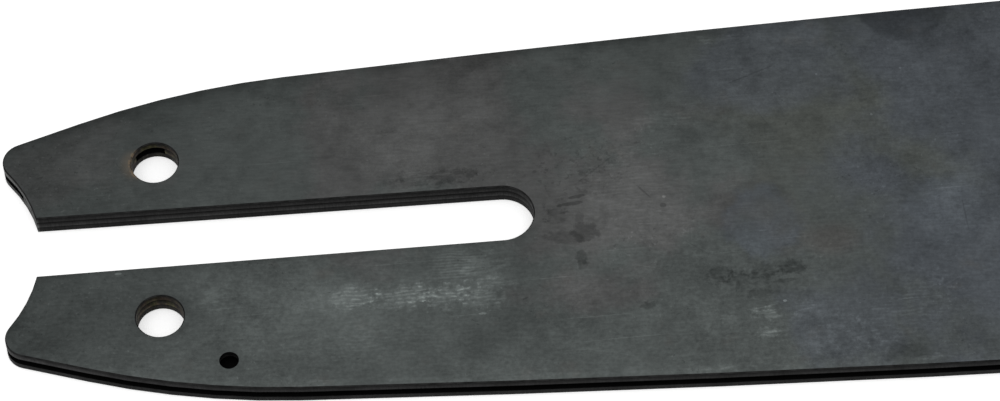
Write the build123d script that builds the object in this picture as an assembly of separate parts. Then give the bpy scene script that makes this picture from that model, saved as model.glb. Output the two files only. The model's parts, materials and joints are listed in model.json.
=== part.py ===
from build123d import *

import math
import os

# Laminated chainsaw guide bar with a sprocket nose, lying on one side face. Millimetres.
# X runs along the bar from its tail to its nose, Y across it and Z up through its plies.
# The origin is the centre of the stud slot's round end, on the face that the bar lies on.

# Plies
side_plate_thickness = 1.05
core_thickness = 1.1
groove_depth = 7.1
edge_break = 0.15

# Stud slot, open at the tail, where it is a little wider
slot_width = 8.2
slot_mouth_width = 8.78

# Tail end: hollowed to clear the drive sprocket, between rounded prongs
tail_arc_setback = 78.3
tail_arc_radius = 19.0
tail_corner_radius = 2.8

# Tail edges: a bend turns them in to a straight taper, tail_drop inside the belly where it starts
tail_bend_setback = 27.0
tail_drop = 4.6
tail_bend_radius = 105.0
tail_taper_angle = 18.3

# Belly edges: one arc from the tail bend to the widest point, another on to the nose taper,
# which starts taper_drop inside the belly
belly_station = 132.0
belly_half_width = 28.6
nose_taper_length = 89.0
taper_drop = 2.1

# Nose: the chain's pitch and the sprocket's teeth give its radius
nose_reach = 346.0
chain_pitch = 9.32
sprocket_teeth = 7
rivet_line_height = 3.9

# Chain tension holes, one in each prong, with their outer sides open to the groove
tension_hole_diameter = 6.1
tension_hole_setback = 44.3
tension_hole_spacing = 23.6

# Oil hole into the groove, in each side plate near the edge that is lower when that plate faces out
oil_hole_diameter = 2.5
oil_hole_setback = 35.8
oil_hole_inset = 3.9

# Nose sprocket
tooth_tip_drop = 0.5
tooth_gap_depth = 5.4
tooth_gap_root_radius = 2.6
tooth_gap_flare = 32.0
tooth_tip_round = 0.7
sprocket_side_play = 0.05
sprocket_core_gap = 0.8

# Nose bearing: a fixed race, a full ring of loose rollers and the sprocket's bore
race_radius = 5.6
roller_diameter = 2.7
roller_radial_play = 0.02
roller_side_play = 0.04
roller_spacing_play = 0.04

# Nose rivets, flush on both faces
rivet_count = 3
rivet_circle_radius = 2.9
rivet_shank_diameter = 2.4
rivet_head_diameter = 3.8
rivet_head_depth = 0.6
rivet_play = 0.02

# Worked out from the sizes above
bar_thickness = 2 * side_plate_thickness + core_thickness
upper_plate_base = side_plate_thickness + core_thickness
pitch_radius = chain_pitch / 2 / math.sin(math.pi / (2 * sprocket_teeth))
nose_radius = pitch_radius - rivet_line_height
nose_centre = nose_reach - nose_radius
tooth_tip_radius = nose_radius - tooth_tip_drop
roller_radius = roller_diameter / 2
roller_orbit = race_radius + roller_radial_play + roller_radius
sprocket_bore_radius = roller_orbit + roller_radius + roller_radial_play
roller_room = math.asin((roller_radius + roller_spacing_play / 2) / roller_orbit)
roller_count = int(math.pi / roller_room)


def arc_through(run, drop):
    """Radius and turn in degrees of an arc that starts level and falls by drop over run."""
    radius = (run**2 + drop**2) / (2 * drop)
    return radius, math.degrees(math.asin(run / radius))


def taper_arc(start, half_width, turned):
    """Radius and turn of the arc that leads from the belly, already turned, into the nose round."""
    back = start - nose_centre
    sine = math.sin(math.radians(turned))
    cosine = math.cos(math.radians(turned))
    reach = back**2 + half_width**2 - nose_radius**2
    radius = reach / (2 * (back * sine + half_width * cosine - nose_radius))
    centre_x = start - radius * sine
    centre_y = half_width - radius * cosine
    return radius, math.degrees(math.atan2(nose_centre - centre_x, -centre_y)) - turned


def bar_outline(inset):
    """The edge that the chain runs round, moved in by inset, closed square behind the tail."""
    widest = (belly_station, belly_half_width - inset)
    radius, tail_turn = arc_through(belly_station + tail_bend_setback, tail_drop)
    belly_back = JernArc(widest, (-1, 0), radius - inset, tail_turn)
    bend_turn = tail_taper_angle - tail_turn
    tail_bend = JernArc(belly_back @ 1, belly_back % 1, tail_bend_radius - inset, bend_turn)
    taper_run = (tail_arc_setback + (tail_bend @ 1).X) / math.cos(math.radians(tail_taper_angle))
    tail_taper = Line(tail_bend @ 1, tail_bend @ 1 + tail_bend % 1 * taper_run)

    taper_start = nose_centre - nose_taper_length
    radius, nose_turn = arc_through(taper_start - belly_station, taper_drop)
    belly_front = JernArc(widest, (1, 0), radius - inset, -nose_turn)
    radius, taper_turn = taper_arc(taper_start, belly_half_width - taper_drop, nose_turn)
    nose_taper = JernArc(belly_front @ 1, belly_front % 1, radius - inset, -taper_turn)
    nose_round = JernArc(nose_taper @ 1, nose_taper % 1, nose_radius - inset, nose_turn + taper_turn - 90)

    upper = Curve() + [tail_taper, tail_bend, belly_back, belly_front, nose_taper, nose_round]
    back = Line(tail_taper @ 1, mirror(tail_taper, Plane.XZ) @ 1)
    return make_face(upper + mirror(upper, Plane.XZ) + back)


def tail_hollow():
    return Pos(-tail_arc_setback, 0) * Circle(tail_arc_radius)


def stud_slot():
    """The slot's round end and its sides, which run on into the hollow of the tail."""
    mouth = tail_arc_setback - tail_arc_radius
    flare = (slot_mouth_width - slot_width) / 2 / mouth
    end_half = slot_width / 2
    back_half = end_half + flare * tail_arc_setback
    sides = [(0, end_half), (-tail_arc_setback, back_half), (-tail_arc_setback, -back_half), (0, -end_half)]
    return Circle(end_half) + make_face(Polyline(*sides, close=True))


def tension_holes():
    places = Locations(*[(-tension_hole_setback, side * tension_hole_spacing / 2) for side in (1, -1)])
    return places.locations * Circle(tension_hole_diameter / 2)


def oil_hole():
    """The oil hole of the plate that faces up, a set distance in from the edge at y below 0."""
    across = Line((-oil_hole_setback, -belly_half_width), (-oil_hole_setback, 0))
    place = (bar_outline(oil_hole_inset) & across).vertices().sort_by(Axis.Y)[0]
    return Pos(place.X, place.Y) * Circle(oil_hole_diameter / 2)


def rivet_places():
    return Pos(nose_centre, 0) * PolarLocations(rivet_circle_radius, rivet_count, 180 / rivet_count)


def rivet(play):
    """A rivet with a flush conical head at each end, or with play, the hole that takes it."""
    shank = rivet_shank_diameter / 2 + play
    head = rivet_head_diameter / 2 + play
    half = [
        (0, bar_thickness / 2),
        (head, bar_thickness / 2),
        (shank, bar_thickness / 2 - rivet_head_depth),
    ]
    other_half = [(across, -along) for across, along in reversed(half)]
    section = make_face(Polyline(*half, *other_half, close=True))
    return Pos(0, 0, bar_thickness / 2) * revolve(Plane.XZ * section, Axis.Z)


def side_plate():
    """The side pressing as it lies on top, with its outer edges broken."""
    profile = bar_outline(0) - tail_hollow()
    profile = fillet(profile.vertices().sort_by(Axis.X)[:2], tail_corner_radius)
    profile -= stud_slot()
    profile -= tension_holes()
    plate = extrude(Pos(0, 0, upper_plate_base) * profile, side_plate_thickness)
    plate = chamfer(plate.faces().sort_by(Axis.Z)[-1].edges(), edge_break)
    plate -= extrude(Pos(0, 0, upper_plate_base) * oil_hole(), side_plate_thickness)
    for place in rivet_places():
        plate -= place * rivet(rivet_play)
    return plate


def core_plate():
    """The middle ply, set back by the groove and cut away round the sprocket."""
    profile = bar_outline(groove_depth) - tail_hollow() - stud_slot() - tension_holes()
    profile -= Pos(nose_centre, 0) * Circle(tooth_tip_radius + sprocket_core_gap)
    return extrude(Pos(0, 0, side_plate_thickness) * profile, core_thickness)


def tooth_gap():
    """A gap for one drive link's tang: a round root with flanks that leave it at a tangent."""
    flare = math.radians(tooth_gap_flare)
    centre = tooth_tip_radius - tooth_gap_depth + tooth_gap_root_radius
    flank = tooth_gap_depth / math.cos(flare)
    near = (centre - tooth_gap_root_radius * math.sin(flare), tooth_gap_root_radius * math.cos(flare))
    far = (near[0] + flank * math.cos(flare), near[1] + flank * math.sin(flare))
    mouth = [near, far, (far[0], -far[1]), (near[0], -near[1])]
    return Pos(centre, 0) * Circle(tooth_gap_root_radius) + make_face(Polyline(*mouth, close=True))


def nose_sprocket():
    star = Circle(tooth_tip_radius) - PolarLocations(0, sprocket_teeth) * tooth_gap()
    tips = star.vertices().sort_by(lambda corner: corner.center().length)[-2 * sprocket_teeth :]
    star = fillet(tips, tooth_tip_round) - Circle(sprocket_bore_radius)
    base = side_plate_thickness + sprocket_side_play
    return extrude(Pos(nose_centre, 0, base) * star, core_thickness - 2 * sprocket_side_play)


def bearing_race():
    race = Pos(nose_centre, 0, side_plate_thickness) * extrude(Circle(race_radius), core_thickness)
    for place in rivet_places():
        race -= place * rivet(rivet_play)
    return race


def bearing_rollers():
    base = side_plate_thickness + roller_side_play
    roller = extrude(Circle(roller_radius), core_thickness - 2 * roller_side_play)
    ring = Pos(nose_centre, 0, base) * PolarLocations(roller_orbit, roller_count)
    return [place * roller for place in ring]


upper_plate = side_plate()
middle_line = Axis((0, 0, bar_thickness / 2), (1, 0, 0))
nodes = {
    "upper_side_plate": upper_plate,
    "lower_side_plate": upper_plate.rotate(middle_line, 180),
    "core_plate": core_plate(),
    "nose_sprocket": nose_sprocket(),
    "bearing_race": bearing_race(),
    "nose_rivets": Compound(children=[place * rivet(0) for place in rivet_places()]),
}
for number, roller in enumerate(bearing_rollers(), 1):
    nodes[f"bearing_roller_{number:02d}"] = roller

os.makedirs("parts", exist_ok=True)
for name, solid in nodes.items():
    export_step(solid, f"parts/{name}.step")
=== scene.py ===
import json
import math

import bpy
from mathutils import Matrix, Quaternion, Vector


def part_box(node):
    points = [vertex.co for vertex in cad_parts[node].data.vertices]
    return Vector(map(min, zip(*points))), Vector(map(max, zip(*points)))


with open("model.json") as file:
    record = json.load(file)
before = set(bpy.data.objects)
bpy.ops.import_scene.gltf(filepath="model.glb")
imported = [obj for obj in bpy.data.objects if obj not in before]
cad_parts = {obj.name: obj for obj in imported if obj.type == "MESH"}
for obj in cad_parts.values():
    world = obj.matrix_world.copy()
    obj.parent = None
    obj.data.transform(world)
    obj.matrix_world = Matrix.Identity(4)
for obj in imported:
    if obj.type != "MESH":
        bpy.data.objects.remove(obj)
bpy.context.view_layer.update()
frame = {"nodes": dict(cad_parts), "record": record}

# The frame is in metres. Finishes are written in millimetres of the same frame.
MM = 0.001
PER_METRE = 1000.0

# Camera: the place it stands at, the point on the bar it looks at, its roll and its lens
CAMERA_PLACE = Vector((-10.7, -324.27, 490.7)) * MM
CAMERA_AIM = Vector((-0.1, 1.93, 3.2)) * MM
CAMERA_ROLL = math.radians(-2.68)
CAMERA_LENS = 164.3
CAMERA_SENSOR = 36.0
CAMERA_CLIP = 0.01

# Light and floor
WORLD_STRENGTH = 0.6
KEY_PLACE = Vector((-0.1, -0.35, 1.35))
KEY_AIM = Vector((0.05, 0.0, 0.0))
KEY_SIZE = (1.6, 1.2)
KEY_WATTS = 8.5
FLOOR_SIZE = 6.0
FLOOR_GAP = 0.02 * MM
FLOOR_TONE = 0.86
FLOOR_GLOW = 0.45

# Outline of the side plates, for shading that follows their edges
BELLY_STATION = 132.0
BELLY_HALF_WIDTH = 28.6
BELLY_BACK_RADIUS = 2750.0
BELLY_FRONT_RADIUS = 2780.0
TAIL_BEND_START = -27.0
TAIL_BEND_RUN = 27.3
TAIL_BEND_RADIUS = 105.0
NOSE_TAPER_START = 240.0
NOSE_TAPER_RADIUS = 886.0
NOSE_RADIUS = 17.04
SLOT_HALF_WIDTH = 4.1
SLOT_FLARE = 0.005
HOLLOW_CENTRE = -78.3
HOLLOW_RADIUS = 19.0

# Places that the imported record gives
mounts = {mount["name"]: mount for mount in frame["record"]["mounts"]}
joints = {joint["name"]: joint for joint in frame["record"]["behaviour"]["joints"]}
NOSE_CENTRE = joints["sprocket_spin"]["pos_m"][0] * PER_METRE
HOLE_PLACE = [value * PER_METRE for value in mounts["tension_hole_left"]["pos_m"][:2]]
HOLE_RADIUS = mounts["tension_hole_left"]["dims"]["r_mm"]
CORE_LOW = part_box("core_plate")[0].z * PER_METRE
CORE_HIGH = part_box("core_plate")[1].z * PER_METRE
CORE_MIDDLE = (CORE_LOW + CORE_HIGH) / 2
CORE_HALF = (CORE_HIGH - CORE_LOW) / 2
INNER_SKIN = 0.05

# Weld spots: a row along the bar, as round tints on the faces. Their ramps go by the distance from
# the centre, as a share of the radius.
WELD_FIRST = 33.0
WELD_LAST = 297.0
WELD_PITCH = 24.0
WELD_LINE = -4.4
WELD_RADIUS = 6.0
WELD_INSIDE = (1.0, 0.75)
WELD_RIM_RISE = (0.6, 0.9)
WELD_RIM_FALL = (1.15, 0.92)
WELD_TINT_SHARE = 0.65
WELD_RIM_GAIN = -0.13

# Marks on the face that looks up, from the tail to the nose. Each has its centre, its half sizes,
# its turn in degrees, and how much lighter it makes the oxide, or darker where that is below 0.

# Soft zones without an edge: tone that differs from place to place, and in the broad pale zone
# below the middle also a painted sheen
SOFT_ZONES_AND_SHEEN = [
    ((-62, -9), (5, 6), 0, -0.12),
    ((-60, -15), (9, 5), 12, -0.22),
    ((-54.5, 11), (6, 6), 0, 0.10),
    ((-33, 16), (10, 5), 8, -0.08),
    ((-28, -14), (14, 8), 0, 0.16),
    ((-22.5, -10.5), (7, 4), 0, 0.22),
    ((-15, 10), (16, 6), 0, 0.14),
    ((-14.5, 20), (26, 5), 2, -0.12),
    # Painted sheen: the broad pale zone below the middle of the face
    ((-14, -12), (34, 8), 3, 0.16),
    ((-14, -18), (5, 3), 0, -0.10),
    ((-13, -12.8), (4, 2), 0, 0.12),
    ((-10.5, -7.3), (6, 3), 0, -0.12),
    ((-4, -20), (5, 4), 0, -0.24),
    ((0, -18), (9, 5), 0, -0.12),
    ((1.5, -13), (7, 8), 0, -0.30),
    ((1.5, -7), (7, 4), 0, -0.12),
    ((2, 16), (8, 8), 0, -0.08),
    ((5.5, 19), (7, 5), 0, -0.14),
    ((13, -11), (4, 2.6), 0, -0.16),
    ((13.5, -6), (5, 5), 0, 0.10),
    ((14.5, -1), (9, 14), 0, 0.24),
    ((14.7, -13.7), (4.5, 4), 0, -0.16),
    ((17.5, 10), (12, 7), 0, 0.18),
    ((23.5, -3.5), (4.5, 10), 0, 0.13),
    ((27, -7.6), (5, 4), 0, 0.08),
    ((32, -18), (20, 8), -5, 0.06),
    ((33, -23), (4, 3), 0, -0.14),
    ((34, -15.6), (5, 4), 0, -0.12),
    ((35, 21.5), (7, 5), 0, 0.14),
    ((39.4, -20.1), (4, 4), 0, -0.12),
    ((48.5, -25.5), (5, 3), 0, -0.28),
    ((49.5, 4.3), (4, 4), 0, 0.06),
    ((50.8, 17.2), (6, 5), 0, 0.10),
    ((51, -17.5), (16, 10), 0, -0.24),
    ((54, -9.7), (4, 4), 0, -0.14),
    ((58, -2.5), (5, 8), -30, 0.20),
    ((59, -25), (6, 4), 0, -0.18),
    ((60, -14), (4, 5), 0, 0.14),
    ((61, -9), (5, 6), 0, 0.10),
    ((65, 0), (4, 7), 0, -0.14),
]

# A round dark tint that the upper edge cuts through
DISCS = [
    ((54.9, 28.9), (6.7, 6.7), 0, -0.30),
]

# Pale rubbed places, broken into fine ridges
RUBS = [
    ((-37, -9.5), (4, 2.6), 10, 0.30),
    ((-20, -18), (12, 3), 5, 0.25),
    ((-19.6, -11.2), (3.8, 2.2), 8, 0.85),
    ((-13.2, -11.6), (4.8, 2.1), 6, 0.95),
    ((-8.0, -11.9), (4.4, 2.4), 4, 0.95),
    ((-3.6, -12.6), (4.0, 2.2), -8, 0.65),
    ((-2.2, -10.4), (3.2, 1.2), -10, 0.60),
    ((17, 3), (9, 9), 40, 0.25),
    ((21.5, 12.8), (6, 1.7), -2, 0.35),
    ((25.9, -25.8), (6.0, 0.6), 0, 0.35),
    ((27.3, -18.4), (1.4, 1.0), 0, 0.45),
    ((30.3, 24.8), (3.6, 1.0), -3, 0.50),
    ((32.2, -21.0), (2.0, 1.0), -6, 1.20),
    ((32.4, -18.1), (2.2, 1.1), -6, 1.20),
    ((37.1, -17.6), (1.8, 1.1), 20, 0.45),
    ((50, -19), (9, 5), 30, 0.35),
    ((52.9, -26.4), (4.0, 0.7), 3, 0.45),
]

# Pale smears with streaked edges
SMEARS = [
    ((-37.5, -9.7), (1.8, 2.4), 0, 0.18),
    ((-34.2, -14.2), (2.4, 1.8), 0, 0.14),
    ((-7.6, -8.2), (4.0, 1.6), 0, 0.14),
    ((-2.9, -7.9), (3.0, 3.0), -25, 0.30),
]

# Pale patchy wisps
WISPS = [
    ((40.0, -18.5), (5.0, 3.0), 0, 0.20),
    ((42.3, -23.0), (8.0, 4.0), 0, 0.28),
    ((51.5, -15.5), (6.0, 4.0), 0, 0.22),
]

# Dark smudges, broken into dashes
SMUDGES = [
    ((-7.6, 6.2), (7.0, 1.7), 1, -0.36),
    ((6.8, -0.8), (2.0, 2.2), 0, -0.42),
    ((17.4, -15.6), (1.4, 0.9), 10, -0.34),
    ((26.9, -11.9), (2.2, 1.5), 0, -0.34),
    ((29.2, -12.6), (2.0, 1.2), 0, -0.24),
    ((31.2, -12.9), (5.2, 2.0), 3, -0.20),
    ((32.1, -15.0), (3.0, 1.1), 3, -0.24),
    ((32.2, -12.0), (2.8, 1.6), 4, -0.32),
    ((36.0, -11.4), (2.2, 1.4), 0, -0.38),
]

# Dark stains with an edge
STAINS = [
    ((7.8, -4.4), (2.8, 1.1), -4, -0.22),
    ((8.8, 0.6), (2.3, 0.32), 6, -0.36),
    ((9.7, -8.8), (0.85, 0.9), 4, -0.22),
    ((9.7, -7.6), (0.85, 1.1), 4, -0.28),
    ((9.9, -1.7), (0.7, 0.9), 0, -0.20),
    ((9.9, 1.7), (1.2, 0.32), 8, -0.38),
    ((10.4, -3.8), (2.0, 1.7), 0, -0.32),
    ((35.1, -13.4), (1.7, 0.35), 4, -0.24),
]

# Single scratches
SCRATCHES = [
    ((12.2, 5.5), (4.0, 0.12), 38, -0.14),
    ((18.4, 1.7), (1.5, 0.17), -52, -0.26),
    ((24.6, -7.6), (2.2, 0.13), -40, -0.14),
    ((32.2, -17.1), (2.3, 0.1), 10, 0.25),
    ((33.9, 18.8), (3.6, 0.14), 21, -0.20),
    ((59.05, -5.3), (2.9, 0.12), -87, -0.20),
]

# Single flecks
FLECKS = [
    ((-49.4, -5.0), (0.5, 0.22), 0, 0.90),
    ((-3.5, -15.0), (0.5, 0.2), 0, 0.7),
    ((20.7, -0.6), (0.5, 0.35), 0, -0.35),
    ((20.9, 0.7), (0.26, 0.22), 0, 0.60),
    ((34.75, -16.45), (0.24, 0.2), 0, 1.30),
    ((42.5, 18.1), (0.22, 0.2), 0, 0.70),
    ((48.9, 11.1), (0.2, 0.2), 0, 0.60),
    ((53.5, 18.1), (0.2, 0.2), 0, 0.50),
]

# Zones of dark specks, and a finger print, by their centres and half sizes
SPECKED_ZONES = [((10, 6.5), (11, 8)), ((45.7, 21.5), (2.6, 2.2))]
SPECKED_GAIN = -0.24
PRINT_PLACE = ((-6.6, -7.4), (3.8, 3.2))
PRINT_GAIN = 0.30

# Ridges in the finger print and in the rubbed places: from one to the next, how low the print's
# grooves lie, and the share of the rubbed places that the ridges take
PRINT_PITCH = 0.43
PRINT_GROOVE = 0.1
RUB_PITCH = 0.55
RUB_RIDGES = 0.72

# Colour zones of the oxide, by their centres and half sizes. The neutral ones differ in strength.
NEUTRAL_ZONES = [((-7, 12), (22, 18), 1.0), ((16, -1), (19, 14), 1.0), ((-52, 13), (14, 8), 0.6)]
OLIVE_ZONE = ((42, 9), (17, 13))
BLUE_ZONES = [((37, 23), (15, 9)), ((42, -19), (10, 8))]
BLUE_SHARE = 0.75
BLUE_WAVER = 22.0
BROWN_PATCH = ((41.7, -7.7), (5.0, 3.4))
BROWN_SHARE = 0.5

# Fine scratches all over: their turn in degrees, the noise level they start at, and their gain
FINE_SCRATCHES = [(1, 0.67, 0.30), (-17, 0.71, 0.22), (28, 0.72, 0.20), (-62, 0.73, -0.20)]
SCRATCH_SOFTNESS = 0.07

# Gains of the pale and of the dark specks
SPECK_GAINS = [0.3, -0.25]

# The oxide's tone where nothing changes it, the gain of the painted highlight on its rim, and the
# waver of the painted shade at the slot
MEAN_TONE = 1.13
PAINTED_HIGHLIGHT_GAIN = 0.2
SLOT_SHADE_WAVER = 0.4

# Ramps on the faces: the two places in millimetres that each runs between, and then what it gives
# there, where that isn't 0 and 1. Along goes by x, across by y and the others by the distance from
# an edge.
TAIL_TONE_ALONG = (-74, -18, 0.66, 1.0)
# Painted light: the face is lighter towards its -y long edge, as if lit from the front
PAINTED_LIGHT_ACROSS = (30, -26, 0.98, 1.22)
GRAIN_ALONG = (20, 45, 0.0, 0.7)
GRAIN_ACROSS = (4, -8)
# Painted shade along the outer edge that is turned from the front light, weaker towards the nose
PAINTED_SHADE_RIM = (-0.6, 2.4, 0.34, 0.0)
PAINTED_SHADE_HALO = (0.0, 9.0, 0.12, 0.0)
PAINTED_SHADE_ALONG = (10, 35, 1.0, 0.6)
PAINTED_SHADE_ACROSS = (-4, 8)
# Painted highlight along the outer edge that is turned to the front light
PAINTED_HIGHLIGHT_RIM = (1.8, 0.4)
PAINTED_HIGHLIGHT_ACROSS = (-8, -14)
# Painted shade along the slot's edge that is turned from the front light
SLOT_SHADE = (-0.2, 1.5, 0.16, 0.0)
SLOT_SHADE_ACROSS = (4, -3)
SPECKS_ALONG = (-34, -50)
BLUE_ALONG = (41, 60)

# Ramps by noise: the two levels that each runs between, and then what it gives there, where that
# isn't 0 and 1
CLUSTER_LEVELS = (0.5, 0.62)
SPECK_LEVELS = (0.69, 0.75)
WARM_LEVELS = (0.6, 0.74, 0.0, 0.4)
WELD_LEVELS = (0.36, 0.6, 0.35, 1.0)
HAIR_LEVELS = (0.34, 0.62)
WISP_LEVELS = (0.46, 0.64)
DASH_LEVELS = (0.38, 0.6, 0.35, 1.0)
DOT_LEVELS = (0.56, 0.66)
CRUST_LEVELS = (0.36, 0.54)
BROWN_LEVELS = (0.34, 0.54, 0.3, 1.0)
FILM_LEVELS = (0.45, 0.65, 0.0, 0.6)
RIVET_LEVELS = (0.42, 0.62)

# Rust at the upper tension hole, as ramps by the distance from its rim, and the place it keeps to
RUST_CRUST = (0.65, 0.15)
RUST_STAIN = (2.0, 0.2, 0.0, 0.3)
RUST_DROP = 0.2
RUST_HALF_SIZES = (2.7, 2.9)
RUST_SHARE = 0.95

# Punched walls, as ramps by the distance from the joint of two plies, from a round wall, and by x
# and y at the tips of the prongs, where the walls get painted light
JOINT_SHADE = (0.02, 0.16, 0.2, 1.0)
ROUND_WALL = (0.3, 0.2)
PRONG_WALL_PAINTED_LIGHT_ALONG = (-50, -57, 0.0, 0.8)
PRONG_WALL_PAINTED_LIGHT_ACROSS = (4.6, 9.0)

# How level a surface lies, 0 to 1, where walls give way to broken edges, and those to flat faces
WALL_LEVEL = (0.2, 0.6)
FACE_LEVEL = (0.85, 0.97)

# Wear of the sprocket's teeth, as a ramp by the distance from its axis
TOOTH_WEAR = (13.5, 16.2)

# Where each finish takes its noise from
UPPER_SEED = 3
LOWER_SEED = 47
WELD_SEED = 30
CORE_SEED = 60
SPROCKET_SEED = 70
RACE_SEED = 80
RIVET_SEED = 90
ROLLER_SEED = 100
SEED_STEP = (37.0, -53.0, 11.0)

# How metallic each finish is, and its specular level
OXIDE_SHEEN = (0.35, 0.0)
SPROCKET_SHEEN = (0.8, 0.5)
GROUND_SHEEN = (0.9, 0.5)
RIVET_SHEEN = (0.7, 0.4)

# How deep the bump of each finish is, and the least and the most roughness of each
PLATE_RELIEF = 0.012
WALL_RELIEF = 0.01
SPROCKET_RELIEF = 0.008
GROUND_RELIEF = 0.004
RIVET_RELIEF = 0.006
PLATE_ROUGHNESS = (0.40, 0.56)
WALL_ROUGHNESS = (0.42, 0.58)
SPROCKET_ROUGHNESS = (0.30, 0.46)
RACE_ROUGHNESS = (0.25, 0.38)
ROLLER_ROUGHNESS = (0.17, 0.30)
RIVET_ROUGHNESS = (0.34, 0.5)

# Sockets of the mix node that hold colours
MIX_FIRST = 6
MIX_SECOND = 7
MIX_RESULT = 2


def tint(red, green, blue):
    """A colour given as it shows on screen, 0 to 255, as a shader's linear colour."""
    channels = [level / 255 for level in (red, green, blue)]
    linear = [c / 12.92 if c <= 0.04045 else ((c + 0.055) / 1.055) ** 2.4 for c in channels]
    return (*linear, 1.0)


# The oxide on the faces, its weld tints and its rust
OXIDE_GREEN = tint(71, 75, 74)
OXIDE_NEUTRAL = tint(75, 75.7, 75.3)
OXIDE_OLIVE = tint(73, 76, 73)
OXIDE_BLUE = tint(71, 75, 79)
OXIDE_WARM = tint(76, 75, 73)
OXIDE_BROWN = tint(76, 73, 71)
WELD_BLUE = tint(71, 76, 81)
RUST = tint(117, 102, 84)

# The plates' broken edges, their inner faces and their punched walls, clean, in the brown holes and
# in painted light
# Painted shade: the broken edges are darker than the faces
EDGE_STEEL_PAINTED_SHADE = tint(38, 38, 38)
# Painted shade: the inner faces, deep in the groove, are painted near black
GROOVE_PAINTED_SHADE = tint(14, 14, 14)
# Painted shade: the punched walls are darker steel than the faces
WALL_STEEL_PAINTED_SHADE = tint(40, 40, 40)
WALL_BROWN = tint(50, 41, 32)
WALL_OLIVE = tint(56, 54, 34)
# Painted light on the wall of the tail's hollow, as if lit from the left
WALL_PAINTED_LIGHT = tint(70, 71, 70)

# The sprocket, its bearing and the rivets
TOOTH_FLANK = tint(84, 80, 74)
TOOTH_OIL = tint(62, 57, 50)
TOOTH_TIP = tint(128, 126, 122)
RACE_STEEL = tint(150, 150, 148)
ROLLER_STEEL = tint(164, 164, 162)
OIL_FILM = tint(118, 108, 90)
RIVET_STEEL = tint(98, 99, 98)
RIVET_OXIDE = tint(66, 67, 66)


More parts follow.
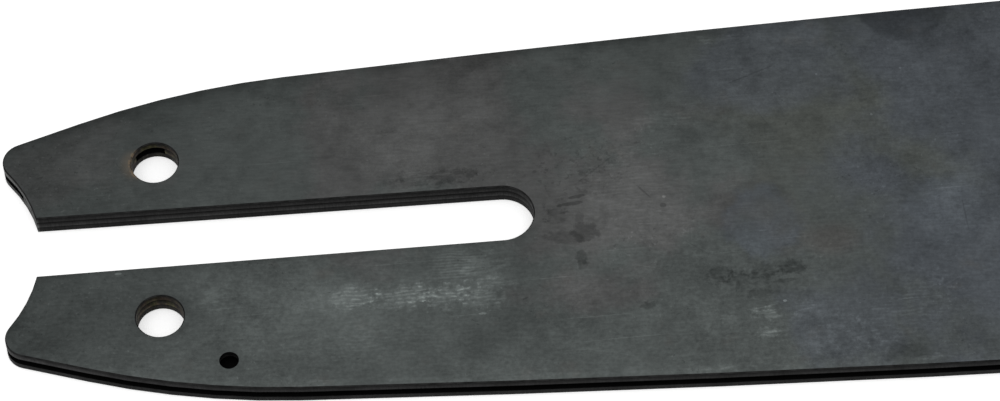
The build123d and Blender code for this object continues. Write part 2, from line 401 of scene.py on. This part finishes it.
class Finish:
    """A node material, with one short call for each kind of node that the finishes use."""

    def __init__(self, name):
        self.material = bpy.data.materials.new(name)
        self.material.use_nodes = True
        self.tree = self.material.node_tree
        self.tree.nodes.clear()
        place = self.add("ShaderNodeTexCoord").outputs["Object"]
        self.place = self.vector("SCALE", place, scale=PER_METRE)
        parts = self.add("ShaderNodeSeparateXYZ", Vector=self.place).outputs
        self.x, self.y, self.z = parts["X"], parts["Y"], parts["Z"]
        normal = self.add("ShaderNodeNewGeometry").outputs["Normal"]
        facing = self.add("ShaderNodeSeparateXYZ", Vector=normal).outputs["Z"]
        self.level = self.math("ABSOLUTE", facing)

    def add(self, kind, settings=None, **inputs):
        node = self.tree.nodes.new(kind)
        for name, value in (settings or {}).items():
            setattr(node, name, value)
        for name, value in inputs.items():
            self.feed(node.inputs[name.replace("_", " ")], value)
        return node

    def feed(self, socket, value):
        if isinstance(value, bpy.types.NodeSocket):
            self.tree.links.new(value, socket)
        else:
            socket.default_value = value

    def math(self, operation, *values):
        node = self.add("ShaderNodeMath", {"operation": operation})
        for socket, value in zip(node.inputs, values):
            self.feed(socket, value)
        return node.outputs[0]

    def plus(self, first, second):
        return self.math("ADD", first, second)

    def minus(self, first, second):
        return self.math("SUBTRACT", first, second)

    def times(self, first, second):
        return self.math("MULTIPLY", first, second)

    def least(self, first, second):
        return self.math("MINIMUM", first, second)

    def most(self, first, second):
        return self.math("MAXIMUM", first, second)

    def unsigned(self, value):
        return self.math("ABSOLUTE", value)

    def vector(self, operation, first, scale=None):
        node = self.add("ShaderNodeVectorMath", {"operation": operation})
        self.feed(node.inputs[0], first)
        if scale is not None:
            self.feed(node.inputs["Scale"], scale)
        return node.outputs["Value" if operation == "LENGTH" else "Vector"]

    def span(self, across, along):
        """Length of the vector with these two parts."""
        pair = self.add("ShaderNodeCombineXYZ", X=across, Y=along).outputs["Vector"]
        return self.vector("LENGTH", pair)

    def slope(self, along, across, centre):
        """A value that is 0 at the centre and grows by these amounts for each millimetre."""
        at_centre = along * centre[0] + across * centre[1]
        part = self.math("MULTIPLY_ADD", self.y, across, -at_centre)
        return self.math("MULTIPLY_ADD", self.x, along, part)

    def ramp(self, value, low, high, start=0.0, end=1.0):
        """Goes smoothly from start to end as value goes from low to high."""
        node = self.add(
            "ShaderNodeMapRange",
            {"interpolation_type": "SMOOTHSTEP"},
            Value=value,
            From_Min=low,
            From_Max=high,
            To_Min=start,
            To_Max=end,
        )
        return node.outputs["Result"]

    def noise(self, size, seed, detail=4.0, roughness=0.55, stretch=(1, 1, 1), turn=0.0):
        """Noise with features of about that size, drawn out by stretch and then turned."""
        mapping = self.add(
            "ShaderNodeMapping",
            {"vector_type": "TEXTURE"},
            Vector=self.place,
            Location=[seed * step for step in SEED_STEP],
            Rotation=(0, 0, math.radians(turn)),
            Scale=[size * factor for factor in stretch],
        )
        node = self.add(
            "ShaderNodeTexNoise",
            Vector=mapping.outputs["Vector"],
            Scale=1.0,
            Detail=detail,
            Roughness=roughness,
        )
        return node.outputs["Fac"]

    def vary(self, start, end, size, seed, spread=0.2, **shape):
        """Noise from start to end, which it reaches where it is off its middle by spread."""
        return self.ramp(self.noise(size, seed, **shape), 0.5 - spread, 0.5 + spread, start, end)

    def reach(self, centre, radii, turn):
        """Distance from a place on the face, as a share of the half sizes there."""
        cosine = math.cos(math.radians(turn))
        sine = math.sin(math.radians(turn))
        along = self.slope(cosine / radii[0], sine / radii[0], centre)
        across = self.slope(-sine / radii[1], cosine / radii[1], centre)
        return self.span(along, across)

    def spot(self, centre, radii, turn=0.0, core=0.0, ragged=None):
        """One in the core of a place on the face, and nothing beyond its edge, ragged if given."""
        reach = self.reach(centre, radii, turn)
        if ragged is not None:
            reach = self.plus(reach, ragged)
        return self.ramp(reach, 1.0, core)

    def mix(self, share, first, second):
        node = self.add("ShaderNodeMix", {"data_type": "RGBA"}, Factor=share)
        self.feed(node.inputs[MIX_FIRST], first)
        self.feed(node.inputs[MIX_SECOND], second)
        return node.outputs[MIX_RESULT]

    def shade(self, colour, factor):
        """The colour made lighter or darker by a factor."""
        plain = isinstance(colour, tuple)
        return self.vector("SCALE", colour[:3] if plain else colour, scale=factor)

    def lift(self, tone, share, gain):
        """The tone made lighter by a share of gain, or darker where gain is below 0."""
        return self.times(tone, self.plus(self.times(share, gain), 1.0))

    def relief(self, height, depth):
        """Bump from a height between 0 and 1, as deep as given."""
        node = self.add("ShaderNodeBump", Height=height, Distance=depth * MM, Strength=1.0)
        return node.outputs["Normal"]

    def output(self, colour, roughness, bump, metallic, specular):
        shader = self.add(
            "ShaderNodeBsdfPrincipled",
            Base_Color=colour,
            Roughness=roughness,
            Normal=bump,
            Metallic=metallic,
            Specular_IOR_Level=specular,
        )
        self.add("ShaderNodeOutputMaterial", Surface=shader.outputs["BSDF"])
        return self.material


def sag(m, run, radius):
    """How far an arc of that radius falls over a run."""
    return m.times(m.times(run, run), 0.5 / radius)


def hole_gap(m, across):
    """Distance from the upper tension hole's rim, or from either's if across has no sign."""
    from_centre = m.span(m.minus(m.x, HOLE_PLACE[0]), m.minus(across, HOLE_PLACE[1]))
    return m.minus(from_centre, HOLE_RADIUS)


def hollow_gap(m):
    """Distance from the wall of the tail's hollow."""
    return m.minus(m.span(m.minus(m.x, HOLLOW_CENTRE), m.y), HOLLOW_RADIUS)


def edge_gaps(m):
    """Distances on a side plate's face to its outer edge, and to the slot and holes."""
    back = m.most(m.minus(BELLY_STATION, m.x), 0.0)
    front = m.most(m.minus(m.x, BELLY_STATION), 0.0)
    bend = m.most(m.minus(TAIL_BEND_START, m.x), 0.0)
    past_bend = m.most(m.minus(bend, TAIL_BEND_RUN), 0.0)
    taper = m.most(m.minus(m.x, NOSE_TAPER_START), 0.0)
    belly_fall = m.plus(sag(m, back, BELLY_BACK_RADIUS), sag(m, front, BELLY_FRONT_RADIUS))
    tail_fall = m.minus(sag(m, bend, TAIL_BEND_RADIUS), sag(m, past_bend, TAIL_BEND_RADIUS))
    fall = m.plus(m.plus(belly_fall, tail_fall), sag(m, taper, NOSE_TAPER_RADIUS))
    across = m.unsigned(m.y)
    side = m.minus(m.minus(BELLY_HALF_WIDTH, fall), across)
    ahead = m.minus(m.x, NOSE_CENTRE)
    nose = m.minus(NOSE_RADIUS, m.span(ahead, m.y))
    in_nose = m.math("GREATER_THAN", ahead, 0.0)
    outer = m.plus(side, m.times(in_nose, m.minus(nose, side)))
    widening = m.times(m.most(m.times(m.x, -1.0), 0.0), SLOT_FLARE)
    slot = m.minus(m.span(m.most(m.x, 0.0), m.y), m.plus(widening, SLOT_HALF_WIDTH))
    return outer, m.least(m.least(slot, hollow_gap(m)), hole_gap(m, across))


def weld_reach(m, side):
    """Distance from the nearest weld spot's centre, as a share of its radius."""
    along = m.math("WRAP", m.minus(m.x, WELD_FIRST), WELD_PITCH / 2, -WELD_PITCH / 2)
    return m.times(m.span(along, m.minus(m.y, WELD_LINE * side)), 1 / WELD_RADIUS)


def oxide_tone(m, seed, side):
    """How light a rolled face is: cloudy at every scale, brushed, lighter towards one long edge as
    painted light, with painted shade on the edges turned from the light and a painted highlight on
    the edge turned to it.
    """
    clouds = m.vary(-1.0, 1.0, size=9, seed=seed, spread=0.3, detail=9, roughness=0.9)
    strength = m.vary(0.28, 0.60, size=24, seed=seed + 6, spread=0.15, detail=2)
    clouds = m.plus(m.times(clouds, strength), MEAN_TONE)
    brushed = m.vary(0.9, 1.1, size=0.4, seed=seed + 1, spread=0.3, stretch=(5, 1, 1), turn=-3)
    tone = m.times(m.times(clouds, brushed), m.ramp(m.x, *TAIL_TONE_ALONG))
    across = m.times(m.y, side)
    grainy = m.most(m.ramp(across, *GRAIN_ACROSS), m.ramp(m.x, *GRAIN_ALONG))
    grain = m.vary(-0.12, 0.12, size=0.55, seed=seed + 9, spread=0.25, detail=3, roughness=0.6)
    tone = m.lift(tone, m.times(grain, grainy), 1.0)
    # Painted light: the face is made lighter towards one long edge, as if lit from the front
    tone = m.times(tone, m.ramp(across, *PAINTED_LIGHT_ACROSS))
    uneven = m.vary(-0.9, 0.9, size=7, seed=seed + 3)
    outer, inner = edge_gaps(m)
    wavering = m.plus(outer, uneven)
    # Painted shade: the outer edge turned from the front light is darkened
    edge_shade = m.plus(m.ramp(wavering, *PAINTED_SHADE_RIM), m.ramp(wavering, *PAINTED_SHADE_HALO))
    edge_shade = m.times(edge_shade, m.ramp(m.x, *PAINTED_SHADE_ALONG))
    tone = m.lift(tone, m.times(edge_shade, m.ramp(across, *PAINTED_SHADE_ACROSS)), -1.0)
    # Painted highlight: the outer edge turned to the front light is made lighter
    rim_highlight = m.times(m.ramp(outer, *PAINTED_HIGHLIGHT_RIM), m.vary(0.0, 1.0, size=5, seed=seed + 7, spread=0.08))
    tone = m.lift(tone, m.times(rim_highlight, m.ramp(across, *PAINTED_HIGHLIGHT_ACROSS)), PAINTED_HIGHLIGHT_GAIN)
    # Painted shade: the slot's edge turned from the front light is darkened
    slot_painted_shade = m.ramp(m.plus(inner, m.times(uneven, SLOT_SHADE_WAVER)), *SLOT_SHADE)
    return m.lift(tone, m.times(slot_painted_shade, m.ramp(across, *SLOT_SHADE_ACROSS)), -1.0)


def scratched(m, tone, seed):
    """Fine scratches, mostly along the bar."""
    for turn, cut, gain in FINE_SCRATCHES:
        line = m.noise(size=0.3, seed=seed + turn, detail=2, stretch=(70, 1, 1), turn=turn)
        tone = m.lift(tone, m.ramp(line, cut, cut + SCRATCH_SOFTNESS), gain)
    return tone


def specked(m, tone, seed):
    """Small pale and dark specks, in clusters and all over the tail."""
    clusters = m.ramp(m.noise(size=8, seed=seed, detail=3), *CLUSTER_LEVELS)
    where = m.most(clusters, m.ramp(m.x, *SPECKS_ALONG))
    for number, gain in enumerate(SPECK_GAINS, 1):
        dots = m.ramp(m.noise(size=0.5, seed=seed + number, detail=1), *SPECK_LEVELS)
        tone = m.lift(tone, m.times(dots, where), gain)
    return tone


def oxide_colour(m, seed):
    """The oxide's own colour: green grey, with neutral, olive, blue-grey and warm zones."""
    waver = m.vary(-0.6, 0.6, size=14, seed=seed, spread=0.25, detail=5)
    colour = OXIDE_GREEN
    for centre, radii, share in NEUTRAL_ZONES:
        neutral = m.times(m.spot(centre, radii, core=0.5, ragged=waver), share)
        colour = m.mix(neutral, colour, OXIDE_NEUTRAL)
    colour = m.mix(m.spot(*OLIVE_ZONE, ragged=waver), colour, OXIDE_OLIVE)
    blue = m.ramp(m.plus(m.x, m.times(waver, BLUE_WAVER)), *BLUE_ALONG)
    for centre, radii in BLUE_ZONES:
        zone = m.spot(centre, radii, core=0.4, ragged=waver)
        blue = m.most(blue, m.times(zone, BLUE_SHARE))
    colour = m.mix(blue, colour, OXIDE_BLUE)
    warm = m.ramp(m.noise(size=5, seed=seed + 2, detail=5), *WARM_LEVELS)
    return m.mix(warm, colour, OXIDE_WARM)


def welded(m, tone, colour, side):
    """Weld spots: blue-tinted rounds with a darker rim."""
    seed = WELD_SEED + side
    first = m.math("GREATER_THAN", m.x, WELD_FIRST - WELD_PITCH / 2)
    row = m.times(first, m.math("LESS_THAN", m.x, WELD_LAST + WELD_PITCH / 2))
    row = m.times(row, m.ramp(m.noise(size=9, seed=seed, detail=3), *WELD_LEVELS))
    reach = m.plus(weld_reach(m, side), m.vary(-0.14, 0.14, size=3.5, seed=seed + 4))
    inside = m.times(m.ramp(reach, *WELD_INSIDE), row)
    patchy = m.times(m.vary(0.2, 1.0, size=4, seed=seed + 8, spread=0.1, detail=3), row)
    ring = m.times(m.ramp(reach, *WELD_RIM_RISE), m.ramp(reach, *WELD_RIM_FALL))
    rim = m.times(ring, patchy)
    tone = m.lift(tone, rim, WELD_RIM_GAIN)
    return tone, m.mix(m.times(inside, WELD_TINT_SHARE), colour, WELD_BLUE)


def ridged(m, pitch, size, seed, waver):
    """Fine ridges along the bar, from 0 to 1, that waver over the given size."""
    drift = m.times(m.noise(size, seed, detail=2), waver)
    phase = m.math("MULTIPLY_ADD", m.y, 2 * math.pi / pitch, drift)
    return m.math("MULTIPLY_ADD", m.math("SINE", phase), 0.5, 0.5)


def marked(m, tone, seed):
    """Rubbed, smudged and scratched places of the face that looks up, and soft zones of tone, one
    of them a painted sheen.
    """
    ragged = m.vary(-0.55, 0.55, size=1.1, seed=seed + 2, spread=0.25, detail=5, roughness=0.7)
    streaked = m.vary(-0.7, 0.7, size=0.7, seed=seed + 5, spread=0.25, stretch=(2.6, 1, 1), turn=3)
    hairs = m.noise(size=0.46, seed=seed, detail=2, roughness=0.5, stretch=(3.4, 1, 1), turn=-2)
    ridges = ridged(m, RUB_PITCH, size=3.0, seed=seed + 6, waver=14.0)
    ridges = m.times(m.ramp(hairs, *HAIR_LEVELS), ridges)
    broken = m.plus(m.times(ridges, RUB_RIDGES), 1 - RUB_RIDGES)
    patchy = m.ramp(m.noise(size=1.5, seed=seed + 7, detail=5, roughness=0.65), *WISP_LEVELS)
    dashes = m.noise(size=0.7, seed=seed + 3, detail=3, stretch=(2.2, 1, 1), turn=6)
    dashes = m.ramp(dashes, *DASH_LEVELS)
    # Each kind of mark with the share that its core takes, its ragged edge and its texture
    kinds = [
        (SOFT_ZONES_AND_SHEEN, 0.0, None, None),
        (DISCS, 0.86, m.times(ragged, 0.08), None),
        (RUBS, 0.2, ragged, broken),
        (SMEARS, 0.1, streaked, None),
        (WISPS, 0.3, ragged, patchy),
        (SMUDGES, 0.4, ragged, dashes),
        (STAINS + SCRATCHES + FLECKS, 0.7, m.times(ragged, 0.6), None),
    ]
    for marks, core, edge, texture in kinds:
        for centre, radii, turn, gain in marks:
            share = m.spot(centre, radii, turn, core, edge)
            if texture is not None:
                share = m.times(share, texture)
            tone = m.lift(tone, share, gain)
    dots = m.ramp(m.noise(size=0.6, seed=seed + 9, detail=2), *DOT_LEVELS)
    for centre, radii in SPECKED_ZONES:
        tone = m.lift(tone, m.times(m.spot(centre, radii, core=0.3), dots), SPECKED_GAIN)
    print_lines = ridged(m, PRINT_PITCH, size=3.5, seed=seed + 4, waver=9.0)
    print_lines = m.minus(print_lines, PRINT_GROOVE)
    return m.lift(tone, m.times(m.spot(*PRINT_PLACE, core=0.4), print_lines), PRINT_GAIN)


def rusted(m, colour, seed):
    """Rust on the tail side of the upper tension hole's rim, with a faint stain round it."""
    off_rim = hole_gap(m, m.y)
    crust = m.ramp(m.noise(size=0.7, seed=seed), *CRUST_LEVELS)
    rim = m.times(m.ramp(off_rim, *RUST_CRUST), crust)
    centre = (HOLE_PLACE[0] - HOLE_RADIUS, HOLE_PLACE[1] - RUST_DROP)
    near = m.spot(centre, RUST_HALF_SIZES, core=0.4)
    share = m.times(m.most(rim, m.ramp(off_rim, *RUST_STAIN)), near)
    return m.mix(m.times(share, RUST_SHARE), colour, RUST)


def wall_colour(m, seed, node, foot, head, stain):
    """A punched wall: sheared in upright lines, with painted shade that runs from its tone at the
    foot to that at the head, brown in the holes.
    """
    low, high = (corner.z * PER_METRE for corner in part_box(node))
    shear = m.vary(0.72, 1.28, size=0.16, seed=seed, spread=0.25, detail=3, stretch=(1, 1, 9))
    drift = m.vary(0.8, 1.2, size=4, seed=seed + 1)
    to_joint = m.least(m.unsigned(m.minus(m.z, CORE_LOW)), m.unsigned(m.minus(m.z, CORE_HIGH)))
    # Painted shade: the wall's tone runs from foot to head, darker towards the top of each wall
    tone = m.times(m.ramp(m.z, low, high, foot, head), m.ramp(to_joint, *JOINT_SHADE))
    tone = m.times(tone, m.times(shear, drift))
    in_hole = m.ramp(hole_gap(m, m.unsigned(m.y)), *ROUND_WALL)
    browned = m.times(in_hole, m.ramp(m.noise(size=0.9, seed=seed + 2), *BROWN_LEVELS))
    mottle = m.vary(-0.5, 0.7, size=0.8, seed=seed + 3)
    tone = m.lift(tone, in_hole, mottle)
    olive = m.vary(0.0, 1.0, size=1.5, seed=seed + 4, spread=0.08, detail=3)
    brown = m.mix(olive, WALL_BROWN, WALL_OLIVE)
    # Painted shade: the clean wall is darker steel than the faces
    base = m.mix(m.times(browned, stain), WALL_STEEL_PAINTED_SHADE, brown)
    # Painted light: the wall of the tail's hollow is made lighter, as if lit from the left
    base = m.mix(m.ramp(hollow_gap(m), *ROUND_WALL), base, WALL_PAINTED_LIGHT)
    return m.shade(base, tone)


def plate_steel(name, node, seed, side, foot, head, stain):
    """A side plate: oxide on its faces, painted darker on its punched walls and along its broken
    edges as shade, and painted near black on its inner faces as the groove's shade.
    """
    m = Finish(name)
    tone = specked(m, scratched(m, oxide_tone(m, seed, side), seed + 3), seed + 20)
    colour = oxide_colour(m, seed + 5)
    tone, colour = welded(m, tone, colour, side)
    if side > 0:
        tone = marked(m, tone, seed + 8)
        brown = m.times(m.spot(*BROWN_PATCH, core=0.3), BROWN_SHARE)
        colour = m.mix(brown, colour, OXIDE_BROWN)
    face = m.shade(colour, tone)
    # Painted shade: the broken edges are made darker than the faces
    edge = m.shade(EDGE_STEEL_PAINTED_SHADE, m.vary(0.6, 1.4, size=1.2, seed=seed + 12, detail=5))
    wall = wall_colour(m, seed + 13, node, foot, head, stain)
    flat = m.ramp(m.level, *FACE_LEVEL)
    outside = m.mix(flat, edge, face)
    if side > 0:
        # Painted light: the walls at the prongs' tips are made lighter, as if lit from the left
        outward = m.ramp(m.unsigned(m.y), *PRONG_WALL_PAINTED_LIGHT_ACROSS)
        prong_painted_light = m.times(m.ramp(m.x, *PRONG_WALL_PAINTED_LIGHT_ALONG), outward)
        wall = m.shade(wall, m.plus(prong_painted_light, 1.0))
        outside = rusted(m, outside, seed + 11)
    colour = m.mix(m.ramp(m.level, *WALL_LEVEL), wall, outside)
    # Painted shade: the inner faces, which only show deep in the groove, are made near black
    off_middle = m.unsigned(m.minus(m.z, CORE_MIDDLE))
    inner = m.math("LESS_THAN", off_middle, CORE_HALF + INNER_SKIN)
    colour = m.mix(m.times(inner, flat), colour, GROOVE_PAINTED_SHADE)
    rough = m.vary(*PLATE_ROUGHNESS, size=3, seed=seed + 16, detail=5)
    height = m.noise(size=0.3, seed=seed + 17, stretch=(6, 1, 1))
    return m.output(colour, rough, m.relief(height, PLATE_RELIEF), *OXIDE_SHEEN)


def core_finish():
    """The core: its punched edge shows in the slot, the holes and deep in the groove."""
    m = Finish("core_oxide")
    colour = wall_colour(m, CORE_SEED, "core_plate", foot=2.0, head=0.3, stain=0.8)
    rough = m.vary(*WALL_ROUGHNESS, size=1.5, seed=CORE_SEED + 3)
    height = m.noise(size=0.16, seed=CORE_SEED + 4, detail=3, stretch=(1, 1, 9))
    return m.output(colour, rough, m.relief(height, WALL_RELIEF), *OXIDE_SHEEN)


def sprocket_finish():
    """Hardened and oiled: brown-grey flanks, worn brighter at the tooth tips."""
    m = Finish("sprocket_hardened")
    from_axis = m.span(m.minus(m.x, NOSE_CENTRE), m.y)
    uneven = m.vary(-0.8, 0.8, size=1.4, seed=SPROCKET_SEED, detail=3)
    worn = m.ramp(m.plus(from_axis, uneven), *TOOTH_WEAR)
    oil = m.vary(0.0, 1.0, size=2.5, seed=SPROCKET_SEED + 1, spread=0.15, detail=5, roughness=0.65)
    colour = m.mix(worn, m.mix(oil, TOOTH_FLANK, TOOTH_OIL), TOOTH_TIP)
    lines = m.vary(0.85, 1.15, size=0.2, seed=SPROCKET_SEED + 2, detail=3, stretch=(1, 1, 8))
    rough = m.vary(*SPROCKET_ROUGHNESS, size=1.2, seed=SPROCKET_SEED + 3)
    height = m.noise(size=0.2, seed=SPROCKET_SEED + 4, detail=3, stretch=(1, 1, 8))
    bump = m.relief(height, SPROCKET_RELIEF)
    return m.output(m.shade(colour, lines), rough, bump, *SPROCKET_SHEEN)


def ground_finish(name, seed, base, roughness):
    """Race and rollers: fine ground steel with a thin film of oil."""
    m = Finish(name)
    lines = m.vary(0.86, 1.14, size=0.08, seed=seed, detail=3, stretch=(6, 6, 1))
    film = m.ramp(m.noise(size=1.6, seed=seed + 1, detail=5), *FILM_LEVELS)
    colour = m.shade(m.mix(film, base, OIL_FILM), lines)
    rough = m.vary(*roughness, size=1.0, seed=seed + 2)
    bump = m.relief(m.noise(size=0.1, seed=seed + 3, detail=2), GROUND_RELIEF)
    return m.output(colour, rough, bump, *GROUND_SHEEN)


def rivet_finish():
    """Rivets ground flush: brushed along the bar, with oxide left in the hollows."""
    m = Finish("rivet_ground")
    brushed = m.vary(0.8, 1.2, size=0.14, seed=RIVET_SEED, stretch=(16, 1, 1), turn=-2)
    left = m.ramp(m.noise(size=1.1, seed=RIVET_SEED + 1, detail=5, roughness=0.65), *RIVET_LEVELS)
    colour = m.shade(m.mix(left, RIVET_STEEL, RIVET_OXIDE), brushed)
    rough = m.vary(*RIVET_ROUGHNESS, size=0.8, seed=RIVET_SEED + 2)
    height = m.noise(size=0.14, seed=RIVET_SEED + 3, detail=3, stretch=(16, 1, 1))
    return m.output(colour, rough, m.relief(height, RIVET_RELIEF), *RIVET_SHEEN)


def dress():
    upper = plate_steel(
        "upper_plate_oxide", "upper_side_plate", UPPER_SEED, side=1, foot=1.2, head=0.22, stain=0.8
    )
    lower = plate_steel(
        "lower_plate_oxide", "lower_side_plate", LOWER_SEED, side=-1, foot=0.9, head=0.7, stain=0.25
    )
    finishes = {
        "upper_side_plate": upper,
        "lower_side_plate": lower,
        "core_plate": core_finish(),
        "nose_sprocket": sprocket_finish(),
        "bearing_race": ground_finish("race_ground", RACE_SEED, RACE_STEEL, RACE_ROUGHNESS),
        "nose_rivets": rivet_finish(),
    }
    rollers = ground_finish("roller_ground", ROLLER_SEED, ROLLER_STEEL, ROLLER_ROUGHNESS)
    for name, node in frame["nodes"].items():
        node.data.materials.clear()
        node.data.materials.append(finishes.get(name, rollers))


def add_floor():
    bpy.ops.mesh.primitive_plane_add(size=FLOOR_SIZE, location=(0, 0, -FLOOR_GAP))
    floor = bpy.context.object
    floor.name = "floor"
    material = bpy.data.materials.new("pale_floor")
    material.use_nodes = True
    nodes = material.node_tree.nodes
    links = material.node_tree.links
    nodes.clear()
    diffuse = nodes.new("ShaderNodeBsdfDiffuse")
    diffuse.inputs["Color"].default_value = (FLOOR_TONE, FLOOR_TONE, FLOOR_TONE, 1)
    path = nodes.new("ShaderNodeLightPath")
    seen = path.outputs["Is Camera Ray"]
    for ray in ("Is Glossy Ray", "Is Transmission Ray"):
        either = nodes.new("ShaderNodeMath")
        either.operation = "MAXIMUM"
        links.new(seen, either.inputs[0])
        links.new(path.outputs[ray], either.inputs[1])
        seen = either.outputs[0]
    strength = nodes.new("ShaderNodeMath")
    strength.operation = "MULTIPLY"
    links.new(seen, strength.inputs[0])
    strength.inputs[1].default_value = FLOOR_GLOW
    glow = nodes.new("ShaderNodeEmission")
    links.new(strength.outputs[0], glow.inputs["Strength"])
    both = nodes.new("ShaderNodeAddShader")
    links.new(diffuse.outputs[0], both.inputs[0])
    links.new(glow.outputs[0], both.inputs[1])
    out = nodes.new("ShaderNodeOutputMaterial")
    links.new(both.outputs[0], out.inputs["Surface"])
    floor.data.materials.append(material)


def add_light():
    lamp = bpy.data.lights.new("overhead_softbox", "AREA")
    lamp.shape = "RECTANGLE"
    lamp.size, lamp.size_y = KEY_SIZE
    lamp.energy = KEY_WATTS
    light = bpy.data.objects.new("overhead_softbox", lamp)
    light.location = KEY_PLACE
    light.rotation_mode = "QUATERNION"
    light.rotation_quaternion = (KEY_AIM - KEY_PLACE).to_track_quat("-Z", "Y")
    bpy.context.scene.collection.objects.link(light)


def add_world():
    world = bpy.data.worlds.new("studio")
    world.use_nodes = True
    background = world.node_tree.nodes["Background"]
    background.inputs["Color"].default_value = (1, 1, 1, 1)
    background.inputs["Strength"].default_value = WORLD_STRENGTH
    bpy.context.scene.world = world


def add_camera():
    lens = bpy.data.cameras.new("photo_camera")
    lens.lens = CAMERA_LENS
    lens.sensor_width = CAMERA_SENSOR
    lens.clip_start = CAMERA_CLIP
    camera = bpy.data.objects.new("photo_camera", lens)
    camera.location = CAMERA_PLACE
    camera.rotation_mode = "QUATERNION"
    look = (CAMERA_AIM - CAMERA_PLACE).to_track_quat("-Z", "Y")
    camera.rotation_quaternion = look @ Quaternion((0, 0, 1), CAMERA_ROLL)
    bpy.context.scene.collection.objects.link(camera)
    bpy.context.scene.camera = camera


dress()
add_floor()
add_light()
add_world()
add_camera()
bpy.context.scene.view_settings.view_transform = "Standard"
